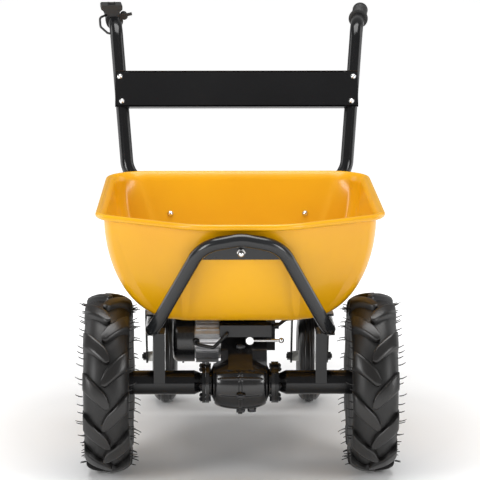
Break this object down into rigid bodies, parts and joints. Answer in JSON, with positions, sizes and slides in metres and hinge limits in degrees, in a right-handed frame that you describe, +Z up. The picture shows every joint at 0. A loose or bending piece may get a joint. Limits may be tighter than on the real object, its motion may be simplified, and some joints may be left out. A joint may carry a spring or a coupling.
{
  "type": "power wheelbarrow",
  "caption": "Battery wheelbarrow: steel tray on a tube frame, driven lugged front wheels on a transaxle, rear swivel casters, upswept handles with thumb throttle.",
  "frame": {"origin": "on the ground under the middle of the whole object", "axes": "+X to the operator's left, +Y rearwards to the handles, +Z up"},
  "size_m": [0.7324, 1.3104, 1.0411],
  "materials": {
    "tray_paint": "satin powder coat, yellow",
    "frame_paint": "gloss powder coat, black",
    "hoop_paint": "satin powder coat, black",
    "case_paint": "painted casting, black",
    "alloy": "as cast",
    "bell_paint": "black paint",
    "zinc": "bright zinc plate",
    "black_zinc": "black oxide",
    "steel": "machined",
    "copper": "wound armature",
    "magnet": "sintered",
    "tyre": "matt rubber",
    "rubber": "moulded rubber",
    "cable": "cable sheath",
    "plastic": "textured, black",
    "battery": "dark grey",
    "caster_rim": "moulded, pale grey",
    "switch": "black"
  },
  "bodies": {
    "chassis": {"axle_tube_left": "frame_paint", "axle_tube_right": "frame_paint", "wheel_bearings": "steel", "gearcase_left": "case_paint", "gearcase_right": "case_paint", "gearcase_bolts": "black_zinc", "motor_body": "alloy", "motor_magnets": "magnet", "motor_end_bell": "bell_paint", "junction_box": "plastic", "motor_cable": "cable", "power_loom": "cable", "front_hoop": "hoop_paint", "hoop_gusset": "hoop_paint", "frame_rail_left": "frame_paint", "frame_rail_right": "frame_paint", "axle_posts": "frame_paint", "rear_crossmember": "frame_paint", "caster_plates": "zinc", "frame_bolts": "zinc", "cross_bars": "frame_paint", "rear_bracket": "frame_paint", "tray": "tray_paint", "tray_bolts": "zinc", "battery_box": "plastic", "battery_lid": "plastic", "batteries": "battery", "controller": "alloy", "handle_left": "frame_paint", "handle_right": "frame_paint", "handle_bolts": "zinc", "cross_plate": "frame_paint", "grip_left": "rubber", "grip_right": "rubber", "control_housing": "plastic", "control_cable": "cable"},
    "wheel_left": {"tyre_left": "tyre", "rim_left": "frame_paint", "hub_left": "steel", "half_shaft_left": "steel", "wheel_nuts_left": "zinc"},
    "wheel_right": {"tyre_right": "tyre", "rim_right": "frame_paint", "hub_right": "steel", "half_shaft_right": "steel", "wheel_nuts_right": "zinc"},
    "differential": {"diff_carrier": "steel", "diff_pinions": "steel"},
    "reduction": {"reduction_gear": "steel"},
    "rotor": {"motor_rotor": "copper"},
    "release_lever": {"release_lever": "zinc"},
    "caster_left": {"caster_fork_left": "frame_paint"},
    "caster_right": {"caster_fork_right": "frame_paint"},
    "caster_wheel_left": {"caster_tyre_left": "tyre", "caster_hub_left": "caster_rim"},
    "caster_wheel_right": {"caster_tyre_right": "tyre", "caster_hub_right": "caster_rim"},
    "throttle": {"throttle_lever": "plastic"},
    "direction_switch": {"direction_switch": "switch"}
  },
  "joints": [
    {"name": "wheel_left_spin", "type": "hinge", "parent": "chassis", "child": "wheel_left", "pos_m": [0.304, -0.42841, 0.208], "axis": [1, 0, 0], "continuous": true},
    {"name": "wheel_right_spin", "type": "hinge", "parent": "chassis", "child": "wheel_right", "pos_m": [-0.304, -0.42841, 0.208], "axis": [1, 0, 0], "continuous": true},
    {"name": "differential_spin", "type": "hinge", "parent": "chassis", "child": "differential", "pos_m": [0, -0.42841, 0.208], "axis": [1, 0, 0], "continuous": true},
    {"name": "reduction_spin", "type": "hinge", "parent": "chassis", "child": "reduction", "pos_m": [0, -0.38659, 0.25445], "axis": [1, 0, 0], "continuous": true},
    {"name": "rotor_spin", "type": "hinge", "parent": "chassis", "child": "rotor", "pos_m": [0, -0.34644, 0.29903], "axis": [1, 0, 0], "continuous": true},
    {"name": "caster_left_swivel", "type": "hinge", "parent": "chassis", "child": "caster_left", "pos_m": [0.19, 0.21159, 0.262], "axis": [0, 0, 1], "continuous": true},
    {"name": "caster_right_swivel", "type": "hinge", "parent": "chassis", "child": "caster_right", "pos_m": [-0.19, 0.21159, 0.262], "axis": [0, 0, 1], "continuous": true},
    {"name": "caster_left_roll", "type": "hinge", "parent": "caster_left", "child": "caster_wheel_left", "pos_m": [0.19, 0.26659, 0.12], "axis": [1, 0, 0], "continuous": true},
    {"name": "caster_right_roll", "type": "hinge", "parent": "caster_right", "child": "caster_wheel_right", "pos_m": [-0.19, 0.26659, 0.12], "axis": [1, 0, 0], "continuous": true},
    {"name": "release_lever_turn", "type": "hinge", "parent": "chassis", "child": "release_lever", "pos_m": [0.022, -0.44441, 0.31], "axis": [0, 1, 0], "range_deg": [0, 25]},
    {"name": "throttle_press", "type": "hinge", "parent": "chassis", "child": "throttle", "pos_m": [-0.3022, 0.52032, 1.00302], "axis": [-0.1081, 0.9831, 0.1475], "range_deg": [0, 35], "stiffness_Nm_per_rad": 0.05, "springref_deg": -11.46},
    {"name": "direction_switch_rock", "type": "hinge", "parent": "chassis", "child": "direction_switch", "pos_m": [-0.33422, 0.49862, 1.03268], "axis": [-0.1081, 0.9831, 0.1475], "range_deg": [-12, 12]}
  ],
  "couplings": [
    {"joint": "wheel_right_spin", "follows": "wheel_left_spin", "ratio": 1},
    {"joint": "differential_spin", "follows": "wheel_left_spin", "ratio": 1},
    {"joint": "reduction_spin", "follows": "wheel_left_spin", "ratio": -2.5714},
    {"joint": "rotor_spin", "follows": "wheel_left_spin", "ratio": 10.286}
  ]
}
